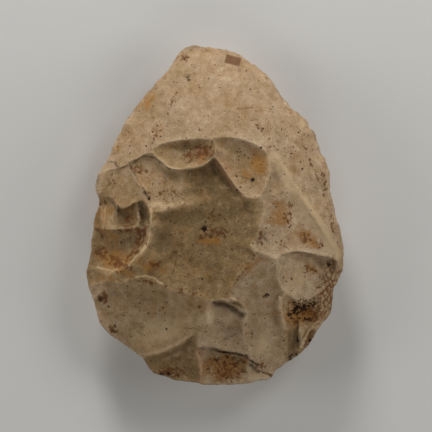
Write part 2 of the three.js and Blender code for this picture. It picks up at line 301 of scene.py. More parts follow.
def nearLine(x, y, points):
    # distance to a line through the points
    nearest = np.full_like(x, np.inf)
    for (ax, ay), (bx, by) in zip(points, points[1:]):
        t = ((x - ax)*(bx - ax) + (y - ay)*(by - ay)) / ((bx - ax)**2 + (by - ay)**2)
        t = np.clip(t, 0, 1)
        nearest = np.minimum(nearest, np.hypot(x - ax - t*(bx - ax), y - ay - t*(by - ay)))
    return nearest


# The edge, with the small flakes struck off all along it

crown = np.array(axe["crown"], float)
edgeRadii = radiiAround(axe["outline"], crown)


def edgeFlakes(seed, least, most, depth):
    # (angle, x, y, size, depth) of each
    random = np.random.default_rng(seed)
    flakes, angle = [], 0
    while angle < fullTurn:
        size = random.uniform(least, most)
        out = lookUp(edgeRadii, angle) - size*random.uniform(-0.2, 0.45)
        x, y = crown + out * np.array([math.cos(angle), math.sin(angle)])
        flakes.append((angle, x, y, size, depth * size / most * random.uniform(0.5, 1.2)))
        angle += size * random.uniform(0.7, 1.6) / out
    return flakes


def chipped(x, y, flakes):
    cut = np.zeros_like(x)
    for angle, fx, fy, size, depth in flakes:
        cut = np.minimum(cut, depth * (((x - fx)**2 + (y - fy)**2) / size**2 - 1))
    return cut


nibbles = edgeFlakes(axe["seed"] + 3, *axe["nibbles"])
upperFlakes = edgeFlakes(axe["seed"], *axe["upperFlakes"]) + nibbles
lowerFlakes = edgeFlakes(axe["seed"] + 1, *axe["lowerFlakes"])
for angle, fx, fy, size, depth in upperFlakes:
    # each also takes a scallop out of the outline
    apart = (tableAngles - angle + math.pi) % fullTurn - math.pi
    across = apart * lookUp(edgeRadii, angle) / (0.55*size)
    edgeRadii = edgeRadii - 0.5*depth*np.clip(1 - across**2, 0, 1)
domeRadii = softened(edgeRadii, 9) + axe["domeOverhang"]


def edgeWave(angle):
    # the edge isn't level: it waves up and down as it goes round
    return 0.9*np.sin(3*angle + 0.6) + 0.6*np.sin(7*angle + 2) + 0.35*np.sin(13*angle)


# The two faces

upperScars = list(axe["scars"].values())
remnants = list(axe["remnants"].values())
for scar in upperScars + remnants:
    scar["radii"] = radiiAround(scar["edge"], scar["at"])
    scar["softRadii"] = np.maximum(softened(scar["radii"], 32), 0.6*scar["radii"])

lowerScars = []
for k in range(axe["lowerScars"]):
    angle = k*fullTurn/axe["lowerScars"] + 0.22*math.sin(2.4*k)
    out = (0.74 + 0.05*math.sin(5*k)) * lookUp(edgeRadii, angle)
    at = crown + out*np.array([math.cos(angle), math.sin(angle)])
    lobes = 1 + 0.1*np.sin(3*tableAngles + k) + 0.04*np.sin(7*tableAngles + 2*k)
    scar = flake(at, 2.4 + 0.6*math.sin(3.1*k), 0.7 + 0.2*math.sin(4.3*k), None)
    scar["radii"] = scar["softRadii"] = (12.5 + 2.5*math.sin(1.7*k + 1)) * lobes
    lowerScars.append(scar)


def scarHeight(scar, x, y):
    # height against the dome: negative inside the scar, rising past its edge
    angle, radius = polar(x, y, scar["at"])
    edge = lookUp(scar["radii"], angle)
    nearEdge = np.clip(radius / edge, 0, 1)**2
    far = radius / (lookUp(scar["softRadii"], angle)*(1 - nearEdge) + edge*nearEdge)
    facing = np.cos(angle - math.radians(scar["facing"]))
    power = scar["hollow"] + (scar["wall"] - scar["hollow"]) * np.clip(0.15 + 1.25*facing, 0, 1)
    inside = np.clip(far, 1e-6, 1)**power - 1
    return scar["depth"] * np.where(far < 1, inside, power*(far - 1)) - scar["drop"], far


def lower(first, second, soft):
    # the lower of two heights, with a rounded ridge where they cross
    share = np.clip(0.5 + 0.5*(second - first)/soft, 0, 1)
    return second + (first - second)*share - soft*share*(1 - share), share


def rippleHeight(scar, x, y, far):
    # faint waves centred on the blow, which came from just outside the nearest edge
    out = np.array(scar["at"]) - crown
    out = out / max(np.hypot(*out), 1)
    blow = crown + out * (lookUp(edgeRadii, math.atan2(out[1], out[0])) + 3)
    run = np.hypot(x - blow[0], y - blow[1])
    fade = np.clip(0.4 + wander(x, y, 13, 53), 0, 1) * np.clip(1.3 - far**2, 0, 1)
    return fade * np.sin(run*fullTurn/axe["rippleLength"] + 2.2*wander(x, y, 8, 51))


def struckHeight(scars, x, y, soft, warpSeed, warpSize):
    # the lowest of all the scars, with its patina, and the warped places where it was measured
    wx = x + warpSize*wander(x, y, 4.5, warpSeed) + 0.1*wander(x, y, 1.6, warpSeed + 2)
    wy = y + warpSize*wander(x, y, 4.5, warpSeed + 4) + 0.1*wander(x, y, 1.6, warpSeed + 6)
    struck = np.full_like(x, axe["unstruck"])
    tone = np.full_like(x, axe["bareTone"])
    ripples = np.zeros_like(x)
    for scar in scars:
        height, far = scarHeight(scar, wx, wy)
        struck, before = lower(struck, height, soft)
        tone = tone*before + scar["tone"]*(1 - before)
        ripples = ripples*before + rippleHeight(scar, x, y, far)*(1 - before)
    return struck + axe["ripple"]*ripples, tone, wx, wy


def grainHeight(x, y, grain):
    return sum(height * roughness(x, y, size, seed) for size, height, seed in grain)


def faceHeight(x, y, dome, struck):
    # height above the edge of a face whose scars reach this far below its dome
    angle, radius = polar(x, y, crown)
    inward = np.clip(lookUp(edgeRadii, angle) - radius, 0, None)
    rise = dome * (1 - np.clip(radius / lookUp(domeRadii, angle), 0, 1)**axe["domePower"])
    least = np.minimum(axe["edgeSlope"]*inward, axe["leastBody"])
    return np.maximum(rise + struck, least) * (1 - np.exp(-inward / axe["edgeRounding"]))


def edgeLevel(x, y):
    angle, radius = polar(x, y, crown)
    return axe["edgeHeight"] + edgeWave(angle) * np.clip(radius / lookUp(edgeRadii, angle), 0, 1)**5


def upperHeight(x, y):
    soft = np.full_like(x, axe["ridgeWear"])
    for sx, sy, reach, strength in axe["faintRidges"]:
        soft += strength * spot(x, y, (sx, sy), 1.4*reach)
    struck, tone, wx, wy = struckHeight(upperScars, x, y, soft, 3, axe["upperWarp"])
    for remnant in remnants:
        height, far = scarHeight(remnant, wx, wy)
        struck = np.where(far < 1, np.maximum(struck, height), struck)
    struck += chipped(x, y, upperFlakes) + grainHeight(x, y, axe["upperGrain"])
    grit = roughness(x, y, 2.6, 91, 3)
    for rx, ry, across, along, amount in axe["roughPlaces"]:
        struck += amount * grit * np.clip(1.6*spot(x, y, (rx, ry), across, along), 0, 1)
    for px, py, size, depth in axe["pits"]:
        struck -= depth * spot(x, y, (px, py), size)
    for width, depth, route in axe["cracks"]:
        struck -= depth * np.exp(-(nearLine(wx, wy, route) / width)**2)
    return edgeLevel(x, y) + faceHeight(x, y, axe["upperDome"], struck), tone


def lowerHeight(x, y):
    struck, tone, wx, wy = struckHeight(lowerScars, x, y, axe["ridgeWear"], 63, axe["lowerWarp"])
    struck += chipped(x, y, lowerFlakes) + grainHeight(x, y, axe["lowerGrain"])
    return np.maximum(edgeLevel(x, y) - faceHeight(x, y, axe["lowerDome"], struck), 0), tone


# One closed mesh: rings of points from the crown out to the edge, and back to the middle underneath

def ringsOf(step, upper):
    # (share of the way out, angles, face) for each ring inside the edge, from the middle outwards
    meanRadius = edgeRadii.mean()
    count = round(meanRadius / step)
    rings = [(0, np.zeros(1), upper)]
    for k in range(1, count):
        points = max(6, round(fullTurn * meanRadius * k / count / step))
        rings.append((k / count, (np.arange(points) + 0.5*(k % 2)) * fullTurn / points, upper))
    return rings


def angleOf(angles, k):
    # the angle of a ring's point, counting on past the full turn, and infinity when the ring is used up
    n = len(angles)
    return angles[k % n] + fullTurn*(k >= n) if k <= n and n > 1 else math.inf


def facesBetween(first, second, firstAngles, secondAngles):
    # triangles between two rings, walking round both at once
    n, m = len(firstAngles), len(secondAngles)
    i, j, faces = 0, 0, []
    while i < n or j < m:
        nextFirst, nextSecond = angleOf(firstAngles, i + 1), angleOf(secondAngles, j + 1)
        if nextFirst == nextSecond == math.inf:
            break
        if nextSecond < nextFirst:
            faces.append((first + i % n, second + j % m, second + (j + 1) % m))
            j += 1
        else:
            faces.append((first + i % n, second + j % m, first + (i + 1) % n))
            i += 1
    return faces


def axeRings():
    edgeCount = round(fullTurn * edgeRadii.mean() / axe["upperStep"])
    edge = (1, np.arange(edgeCount) * fullTurn / edgeCount, True)
    rings = ringsOf(axe["upperStep"], True) + [edge] + ringsOf(axe["lowerStep"], False)[::-1]
    starts = np.cumsum([0] + [len(angles) for share, angles, upper in rings])
    faces = []
    for k in range(len(rings) - 1):
        faces += facesBetween(starts[k], starts[k + 1], rings[k][1], rings[k + 1][1])
    angle = np.concatenate([angles for share, angles, upper in rings])
    share = np.concatenate([np.full(len(angles), share, float) for share, angles, upper in rings])
    onTop = np.concatenate([np.full(len(angles), upper) for share, angles, upper in rings])
    return angle, share, onTop, np.array(faces)


angle, share, onTop, faces = axeRings()
radius = share * lookUp(edgeRadii, angle)
x = crown[0] + radius*np.cos(angle)
y = crown[1] + radius*np.sin(angle)
z = np.zeros_like(x)
tone = np.zeros_like(x)
z[onTop], tone[onTop] = upperHeight(x[onTop], y[onTop])
z[~onTop], tone[~onTop] = lowerHeight(x[~onTop], y[~onTop])
print("form:", len(x), "points,", len(faces), "triangles")


# Curvature of the finished form, for the wear and painted highlight on its ridges, and the painted shade in
# its creases and wide hollows

points = np.stack([x, y, z], 1)
links = np.concatenate([faces[:, [0, 1]], faces[:, [1, 2]], faces[:, [2, 0]]])


def sumAt(index, values):
    return np.bincount(index, weights=values, minlength=len(points))


neighbours = sumAt(links[:, 0], np.ones(len(links)))


def blurred(values, times):
    for k in range(times):
        values = 0.5*values + 0.5*sumAt(links[:, 0], values[links[:, 1]]) / neighbours
    return values


def bending(times):
    # how far the surface bends up (creases, positive) or down (ridges, negative) around each point
    soft = np.stack([blurred(points[:, k], times) for k in range(3)], 1)
    sides = soft[faces]
    normal = np.cross(sides[:, 1] - sides[:, 0], sides[:, 2] - sides[:, 0])
    normals = np.stack([sum(sumAt(faces[:, c], normal[:, k]) for c in range(3)) for k in range(3)], 1)
    normals /= np.linalg.norm(normals, axis=1)[:, None]
    across = soft[links[:, 1]] - soft[links[:, 0]]
    lift = (across * normals[links[:, 0]]).sum(1) / (across**2).sum(1)
    return sumAt(links[:, 0], lift) / neighbours


sharpBend = bending(1)
wideBend = blurred(bending(10), 6)

# The piece, fitted to the box of the solid that it stands for

low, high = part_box("hand_axe")


def fitted(values, least, most):
    return least + (values - values.min()) * (most - least) / (values.max() - values.min())


mesh = bpy.data.meshes.new("knappedAxe")
places = np.stack([fitted(points[:, k], low[k], high[k]) for k in range(3)], 1)
mesh.from_pydata(places.tolist(), [], faces.tolist())
mesh.polygons.foreach_set("use_smooth", np.ones(len(faces), bool))

# Stains on the worked face, with painted light and shade among them: x, y, half width, half height, strength,
# and degrees of turn where it is turned
axe["stains"] = {
    "ochre": [
        (-36, -8, 7, 5, 0.5), (-20, -34, 13, 6, 0.36, 5), (15, -24, 5, 5, 0.4), (-30, 0, 4, 5, 0.35),
        (-3, 20.5, 3.4, 4.5, 0.4, -30), (3, -54, 8, 5, 0.8), (-42, -2, 3, 5, 0.6),
        (-31, -20, 8, 2.5, 0.4, -10), (30, -35, 8, 6, 0.8), (-24, 13, 6, 4, 0.3), (12, -18, 3, 5, 0.5, -30),
        (-18, -18, 8, 3, 0.3), (-23.5, 40, 5, 2.6, 0.8, 50), (-35, 24, 4, 3, 0.4),
        (-20, 29, 3, 4, 0.4, -20), (-2, -9, 7, 3, 0.4), (-22, -17, 6, 3, 0.5, -20),
        (-38, -16, 6, 3, 0.7, -10), (22, -36, 2, 5, 0.3), (-38, -22, 5, 2, 0.5),
        (15.2, 18, 3.4, 6, 0.75, 10), (11.5, 15, 4, 6, 0.5), (-37, 0.7, 3, 5, 0.45),
        (-33.7, -14.5, 7.5, 3.6, 0.7, -15), (-1.6, -8.8, 4, 1.8, 0.7), (-22.4, -17.7, 3, 2, 0.55),
        (5.5, -21.5, 1.8, 4, 0.5, -30), (22.5, 0, 4.6, 7, 0.85, -25), (22, 2, 4, 8, 0.25, -25),
        (32.5, -8, 6, 3.2, 0.9, -35), (4, -52, 8, 5, 0.9), (17, -15, 3, 2, 0.5), (-7, 18, 4, 2, 0.3),
        (33, -18.5, 5, 4, 0.5), (-40, 7, 2, 3, 0.4), (38, 22, 2, 9, 0.35, 10), (-12, 57, 3, 2, 0.5, 40),
    ],
    "rust": [
        (-26.3, -8.5, 2, 4.2, 0.85, -15), (-30, -2, 2.6, 2.6, 0.5), (-11.8, -26, 1.6, 1, 0.8),
        (-7.2, -26.8, 1.3, 0.9, 0.7), (-5.5, -31.8, 1, 1, 0.6), (32.8, -19, 3.6, 2.6, 0.45),
        (3.7, -53.5, 8.5, 6, 0.5), (-16, -55.4, 6, 2.4, 0.85), (30.5, -33.5, 7, 5, 0.9),
        (36, -33, 3, 5, 0.6), (38, -26, 3.4, 5, 0.4, -30), (41.5, -17, 1.4, 2.6, 0.6, 20),
        (-39.7, -28.9, 2.6, 2.4, 0.85), (-36.2, -40.6, 2.4, 2.2, 0.75, -30),
        (33.2, -43.5, 1.6, 3.2, 1, -15), (16, -53, 3, 2, 0.6, -40), (2, -6, 6, 3, 0.35),
        (-3.7, -6.5, 3, 2.6, 0.6), (-9, 20.5, 3, 4, 0.4), (-4, 22, 4, 3, 0.75),
        (-10.8, 55.6, 2.4, 1.8, 0.5, 40), (-9.4, 47.6, 1.6, 2, 0.3), (-40, -13, 3, 3, 0.7),
        (-34, -16.5, 7, 2, 0.85, -20), (-29, -5, 5, 1.6, 0.6), (25, -2, 2.2, 3, 0.6),
        (31, -8, 3, 2, 0.7, -35), (22, -9, 2, 1.4, 0.6), (-21, -17, 3, 1.6, 0.6), (-16, 8, 5, 1.4, 0.55),
        (-27, 16, 5, 2, 0.4, -20), (-40, 4.6, 3, 1.2, 0.7), (26, 3, 2, 3, 0.45),
        (36.5, -10, 2.5, 1.6, 0.5, -40), (-24, -23, 6, 1, 0.4, -10), (38, 12, 1.5, 6, 0.4, 12),
        (41, -3, 1.2, 5, 0.4, 10), (-31, 14, 2, 2, 0.3), (-36, 11, 3, 3, 0.3), (0, 0, 6, 3, 0.3),
    ],
    # dark specks and stains, and thin painted shadow lines under the overhang at the butt and under the lip
    # of the curl
    "soot": [
        (-9.4, 47.4, 0.8, 0.8, 0.3), (-3.7, -4.6, 1.2, 1.6, 0.95), (12.9, 12.2, 0.8, 1, 1),
        (10.5, 11.6, 0.5, 0.5, 0.9), (7.2, 13.5, 0.5, 0.6, 0.9), (8.6, 9.6, 0.5, 0.5, 0.8),
        (17.5, -27.9, 1.2, 0.8, 1, 20), (17.3, -28, 0.7, 0.6, 1, 20), (30, -32, 3.6, 2.4, 0.8),
        (33.5, -30.5, 2.4, 1.6, 0.6, 20), (27, -34.5, 3, 1.6, 0.6, 30), (31.5, -36, 3, 1.5, 0.5, -20),
        (27.4, -49.5, 3.2, 2.4, 0.5), (33.4, -43.6, 1, 2.6, 0.7, -25), (-26, 2, 0.6, 1.8, 0.5, 10),
        (-33, -5.2, 6, 0.6, 0.35), (5, -48.2, 7, 0.8, 0.7, -8), (13.5, -51.8, 3.6, 0.7, 0.6, -38),
        (3, -51, 6, 2, 0.3), (-22.8, 6, 0.6, 0.8, 0.9), (-43.5, -2, 1, 4, 0.4),
        (-10.9, 54.8, 0.8, 0.6, 0.3, 40), (-39.9, -29, 1.6, 1.4, 0.4), (-36, -41, 1.4, 1.2, 0.3),
        (-16, -56, 5, 1.2, 0.4), (3, -31.6, 3.4, 0.5, 0.4, -8), (9, -31.4, 2, 0.4, 0.4, -35),
        (29, -44, 0.7, 3, 0.6, 10), (40, -17.5, 1, 2, 0.6, 30), (35, -58, 3, 2, 0.5), (-42, 4, 2, 1.4, 0.5),
    ],
    "pink": [
        (0, 56.8, 2.6, 1.6, 0.5), (-5, 21.5, 4, 3.8, 1), (3, 17, 2.6, 7, 0.8, 30), (32, 32.8, 1.6, 2, 0.6),
        (-5.5, -52, 1.2, 7, 0.7, 5), (38, 18, 2, 12, 0.4, 12), (-2, 12, 5, 4, 0.35), (36, 4, 2, 9, 0.3, 15),
    ],
    "grey": [
        (-41.1, 11.6, 1.6, 4, 0.8), (-13, 21.5, 6, 4, 0.7), (6, -40.5, 5, 4.5, 0.6), (15, -42, 5, 8, 0.5),
        (-33, 32, 6, 5, 0.35, 40), (-11, -18, 3, 5, 0.5), (15, -56, 3, 3, 0.4), (-12, 10, 6, 4, 0.3),
        (22, 12, 3, 4, 0.3, 30),
    ],
    "crust": [
        (41, -26, 6, 14, 1), (36, -45, 5, 5, 0.7), (-42.5, -1, 3, 4, 0.6), (4, -56, 7, 4, 0.6),
        (43, -4, 2, 6, 0.5), (28, -50, 5, 4, 0.6), (-16, -58, 8, 2, 0.5), (-43, -27, 3, 3, 0.4),
    ],
    # dark olive patches, partly real stains and partly painted shade where a scar turns away from the lamps
    "shade": [
        (-9.6, 48, 1.5, 2.2, 0.9), (-10.8, 55.4, 2.4, 1.6, 0.8, 40), (3, -53, 6, 4, 0.25),
        (-3, 14, 5, 4, 0.55, -35), (-17, -8, 7, 9, 0.9), (37, -17, 3, 4, 0.85, 20), (-26, -29, 13, 4, 0.4),
        (-7, 9, 6, 3, 0.8, 10), (-30, -1, 5, 4, 0.7), (-42, -1, 2.4, 5, 0.8), (-33, 0, 9, 7, 0.5),
        (-3, 20.5, 5, 5, 0.8, -10), (-25, -1, 1.6, 5, 0.8, 5), (-33, -9, 7, 2.4, 0.5),
        (-31, -21, 9, 2, 0.5, -10), (-8, 21, 5, 4, 0.35), (27, -45, 3, 6, 0.75), (2, 3, 12, 5, 0.3),
        (-16, -53, 9, 5, 0.3), (40, 3, 2, 12, 0.3, 10), (30, -33, 7, 5, 0.5), (5, -39.8, 5, 3, 0.55),
        (9, -40, 2, 3, 0.3), (13, 15, 3, 5, 0.25), (21, 13, 2.4, 5, 0.5, 30), (26, 4.5, 3, 4, 0.5, -30),
        (35, -2.5, 3.4, 4, 0.8, -40), (-34, -27, 6, 3, 0.3),
    ],
    # pale patches, partly bleached patina and partly painted light where a face turns to the lamps, as on the
    # crest, the fin, the lower left scar and the bowl under the curl
    "pale": [
        (-20, -42, 14, 4.6, 0.65, 18), (-7, -37, 7, 5, 0.4), (17, -46, 5, 6, 0.7), (16, -36, 5, 6, 0.4),
        (29, -22, 6, 5, 0.8, 20), (14, -21, 5, 7, 0.35, -30), (34, -4, 3, 6, 0.4, 35),
        (28, 8, 3, 9, 0.5, 35), (31, 33, 2.6, 4, 0.7, 10), (1.5, -33.2, 4, 1.6, 1, -12),
        (2.5, -34.6, 4.5, 2, 1, -15), (13.5, -56, 3, 2.6, 1, -35), (19.5, -56.2, 2.4, 2, 1),
        (-18, -38, 14, 5.5, 0.5, 12), (-14, -49, 12, 1.4, 0.5, 22), (-24, -23.6, 7, 0.8, 0.5),
        (-23.6, -4, 0.7, 6, 0.6, 3), (13, 6.4, 4.5, 1.4, 0.6), (16, -13, 5, 0.9, 0.6, -22),
        (1.2, -33, 2.6, 1.8, 0.6, -20), (32, 0, 1.5, 20, 0.5, 33), (-31, -17, 8, 0.9, 0.5, -28),
        (24, -27, 1.2, 4, 0.6, -30), (30.5, -41, 1.2, 4, 0.8, -20), (16, -55, 3, 3, 0.5),
        (-20.5, 3.8, 4, 1.5, 0.9, 5), (-44, -27.5, 2.5, 2.5, 0.5), (-38.5, 0.5, 0.6, 4, 0.5, 5),
    ],
}

# Marks along a line: half width, strength, then the points it runs through. The pale and pink lines are
# painted highlights along lit rims, lips, ridges and the crest, partly their own pale and pink tone; the dark
# line and shade lines are painted shadow under steps and overhangs; the rust lines are stains.
axe["stainLines"] = {
    # painted highlights along lit rims, lips, ridges and the bright crest
    "pale": [
        (0.5, 0.85, [(-27.5, -21.3), (-24, -20.8), (-21, -21.6), (-18.5, -23.6)]),
        (2.2, 0.95, [(20, 20), (23, 16), (26.5, 10.5), (31, 4.5), (36, -2.5), (40, -9), (42.5, -14)]),
        (1.7, 0.95, [(29, 5), (34, -1.5), (38.5, -8), (41.8, -13.5)]),
        (0.56, 0.95, [(12, -10), (14.5, -12.2), (18.5, -13.4), (21.5, -15.5)]),
        (0.45, 1, [(-1.5, -29.3), (2.5, -28.8), (6, -29.9)]),
        (0.74, 0.76, [(-0.5, -33), (3.5, -34)]),
        (0.28, 0.85, [(5.5, -30.8), (8, -31.7), (10, -33.3)]),
        (0.37, 0.95, [(21.9, -29.5), (23, -34), (24.2, -39.5)]),
        (0.9, 1, [(29.6, -39), (29.8, -43), (30.3, -46.2)]),
        (0.6, 1, [(34, -39.2), (32, -42), (30.5, -46)]),
        (0.5, 0.8, [(-22.2, 3), (-22.1, -3.5), (-22.7, -8.5), (-25, -12), (-30, -17), (-36, -19.4),
            (-42, -18)]),
        (0.37, 0.76, [(-26.4, 2.5), (-26.3, -2), (-28, -4.6), (-33, -4.8)]),
        (0.31, 0.66, [(-38.5, 3.5), (-38.8, 0), (-39.2, -4.5)]),
        (0.5, 0.76, [(9.5, 7), (12, 6.2), (15.8, 7)]),
        (0.37, 0.76, [(-18, 17.6), (-14.5, 16.2), (-10.5, 15.8), (-5, 16.8), (-1.5, 19)]),
        (0.7, 0.55, [(-22.5, 3.2), (-17, 3.4), (-11, 4.6)]),
        (0.74, 0.57, [(-25, -49), (-19, -47.5), (-13, -44.5), (-8, -41)]),
        (0.5, 0.66, [(16.8, 5), (16.4, 0), (15.5, -5)]),
        (0.5, 0.66, [(22, -17), (22.2, -22), (24, -26), (28, -30)]),
        (0.37, 0.66, [(9.8, -36), (9.8, -42), (10.5, -47.5)]),
        (0.43, 0.66, [(-5.8, -47.3), (-5.2, -52), (-4.8, -58.5)]),
    ],
    # pink ridge lines, partly painted highlight
    "pink": [
        (1.4, 1, [(-5.8, -47.3), (-5.2, -52), (-4.8, -58.5)]),
        (0.8, 0.9, [(0, 18.5), (3.5, 14), (7, 9), (9.5, 6.8)]),
    ],
    # painted shadow lines under the edges of steps and overhangs
    "line": [
        (0.32, 0.9, [(-38.5, 19.3), (-35, 18.6), (-33.6, 16.7)]),
        (0.3, 0.85, [(-29.9, 17.5), (-27, 12.5), (-24.4, 8.5)]),
        (0.6, 1, [(-24.4, 8), (-22.9, 6)]),
        (0.3, 0.75, [(-33, 16.6), (-30, 17.4), (-27, 19.2), (-24.5, 20.7), (-21, 20), (-18.5, 18),
            (-15.5, 16)]),
        (0.3, 0.6, [(-6, -46.4), (0, -46.6), (3.5, -47.7)]),
        (0.55, 1, [(-1, -46.7), (3.5, -47.8), (7, -48.4), (10, -49.3), (12.5, -51), (14.5, -52.3)]),
        (0.5, 1, [(11.5, -51.8), (13.5, -53.6), (15, -55.2)]),
        (0.7, 0.9, [(-0.4, -30.1), (3, -30.4), (6.5, -31.9), (9.5, -34.2)]),
        (0.3, 0.85, [(5.5, -29.9), (8, -30.7), (10.8, -32.6)]),
        (0.4, 0.7, [(-39, 5.9), (-36.5, 5.7), (-35, 3.5), (-34.2, 1.5)]),
        (0.3, 0.6, [(1.2, -44.3), (5, -42.4), (9, -40.4)]),
        (0.3, 0.6, [(23, -13.7), (26.5, -12.9), (30, -12.9), (35, -13.8), (39.5, -14.8)]),
        (0.4, 0.8, [(16.2, -7), (17.4, -8.6), (18.6, -9.6)]),
        (0.35, 0.7, [(23.4, -10.2), (25.4, -11.6)]),
        (0.4, 0.9, [(-20, -12), (-18.8, -13.6)]),
    ],
    # painted shadow in the gap beside the left hollow and under the lip of the curl
    "shade": [
        (1.1, 1, [(-26, 4.2), (-25, 1), (-24.8, -5)]),
        (1.2, 1, [(0.2, -30.8), (3.6, -31.3), (6.6, -32.9), (9.2, -35)]),
    ],
    "rust": [
        (0.6, 0.5, [(13, -14), (11, -16.5), (9.5, -19.3), (7, -22.8)]),
        (0.7, 0.8, [(15.6, -6), (15, -8.8), (17.5, -11)]),
        (0.5, 0.8, [(15.5, -54.5), (18.5, -56), (20, -56.8)]),
        (0.5, 0.4, [(-24, 8), (-18, 7), (-12, 7.6)]),
        (0.8, 0.8, [(-24.2, -3), (-24.8, -8), (-27, -12), (-31, -15.5)]),
        (0.5, 0.35, [(30, 27), (33, 19), (37, 10), (39, 2)]),
        (0.5, 0.4, [(14, 32), (18, 26), (19, 24)]),
        (0.9, 0.3, [(-22.6, 22), (-20.8, 27.5), (-17, 35), (-14, 42)]),
    ],
}
axe["brokenLines"] = ("rust", "line")   # the kinds that come and go along their length

# Small dark dots: x, y
axe["darkDots"] = [
    (26.5, 26.5), (27.2, 24), (27.9, 22.4), (28.6, 21), (29.6, 18.6), (30.2, 16.2), (26.2, 21.6),
    (24, 23.4), (21.5, 22.6), (20, 24), (33.4, 19.4), (34.6, 9.8), (37.6, 8.4), (36.4, 13), (23, 30),
    (24.6, 27.6), (-13.4, 46.4), (-13.2, 42.7), (12.2, 44.1), (12.9, 43.4), (16.4, 30), (18.5, 26.5),
    (15.7, 23.3), (7.6, 21.9), (7.2, 8.8), (-6.5, 23.6), (-20.3, 6.4), (-17.6, 7), (-10.4, -7.2),
    (-7.6, -10), (-15.3, -1.8), (-15.3, -7), (-13.2, -6), (-5.1, -16.6), (-4.4, -21.9), (-25.4, -36.4),
    (-26.6, -24.7), (-32, -35), (-18.2, -32.1), (12.9, -41.1), (2.3, -37.4), (17.8, -49.4), (23.5, -21.5),
    (8, 19), (7.8, 16), (8.4, 23), (10, 21), (11.4, 19.6), (13.4, 21), (29, 29), (30.5, 23), (35, 15),
    (27, 20), (33, 8), (-20, 31), (-19, 27.5), (-21.6, 29), (-24, 24),
]
axe["dotSize"] = 0.42
axe["dotStrength"] = 0.85

# A reddish brown patch beside the tip, with nothing on it
axe["tipPatch"] = {"at": (6.2, 54.6), "halfWidth": 3.1, "halfHeight": 2.1, "turn": -14, "softness": 0.7}


def patchMask(x, y, patch):
    turn = math.radians(patch["turn"])
    dx, dy = x - patch["at"][0], y - patch["at"][1]
    along = patch["halfWidth"] - abs(dx*math.cos(turn) + dy*math.sin(turn))
    across = patch["halfHeight"] - abs(dy*math.cos(turn) - dx*math.sin(turn))
    return np.clip(np.minimum(along, across) / patch["softness"], 0, 1)


def stainMask(x, y, stains):
    clear = np.ones_like(x)
    for sx, sy, across, along, strength, *turn in stains:
        clear *= 1 - strength * spot(x, y, (sx, sy), across, along, *turn)
    return 1 - clear


def hiddenStain(random):
    sx, sy = random.uniform(-42, 42), random.uniform(-55, 58)
    across, along = random.uniform(1, 6, 2)
    turn, strength = random.uniform(0, 180), random.uniform(0.3, 0.8)
    return sx, sy, across, along, strength, turn


random = np.random.default_rng(axe["seed"] + 2)
masks = {}
for name, stains in axe["stains"].items():
    below = [hiddenStain(random) for k in range(axe["hiddenStains"])]
    masks[name] = np.where(onTop, stainMask(x, y, stains), stainMask(x, y, below))
masks["line"] = np.zeros_like(x)


def markTop(name, values):
    # add a mark on the worked face to one of the masks
    masks[name] = np.maximum(masks[name], np.where(onTop, values, 0))


dotSize = axe["dotSize"]
markTop("soot", stainMask(x, y, [(*at, dotSize, dotSize, axe["dotStrength"]) for at in axe["darkDots"]]))
# the cracks and thin steps are drawn darker along their length
for width, depth, route in axe["cracks"]:
    crackDarkening = 0.45 + 0.3*wander(x, y, 1.1, 71)
    markTop("line", crackDarkening * np.exp(-(nearLine(x, y, route) / (1.1*width))**2))
for name, lines in axe["stainLines"].items():
    present = np.clip(0.85 + 0.8*roughness(x, y, 3.4, 81, 3), 0, 1) if name in axe["brokenLines"] else 1
    for width, strength, route in lines:
        away = nearLine(x + 0.5*wander(x, y, 2.4, 83), y, route)
        markTop(name, strength * present * np.exp(-(away / width)**2))
masks["tipPatch"] = np.where(onTop, patchMask(x, y, axe["tipPatch"]), 0)
masks["tone"] = blurred(tone, 3)
masks["rim"] = np.exp(-np.clip(lookUp(edgeRadii, angle) - radius, 0, None) / 1.6)
# ridges: lighter from wear, and partly a painted highlight
masks["ridge"] = blurred(np.clip(-1.1*sharpBend - 0.1, 0, 1), 1)
# painted shade along the sharp creases
masks["crease"] = blurred(np.clip(1.1*sharpBend - 0.1, 0, 1), 1)
# painted shade: the wide hollows come out darker and the broad bulges lighter in the base colour
masks["hollow"] = np.clip(0.5 + 3.5*wideBend, 0, 1)
for name, values in masks.items():
    mesh.attributes.new(name, "FLOAT", "POINT").data.foreach_set("value", values.astype(np.float32))
mesh.update()
knappedAxe = bpy.data.objects.new("knappedAxe", mesh)
bpy.context.collection.objects.link(knappedAxe)
print("mesh and stain masks made")

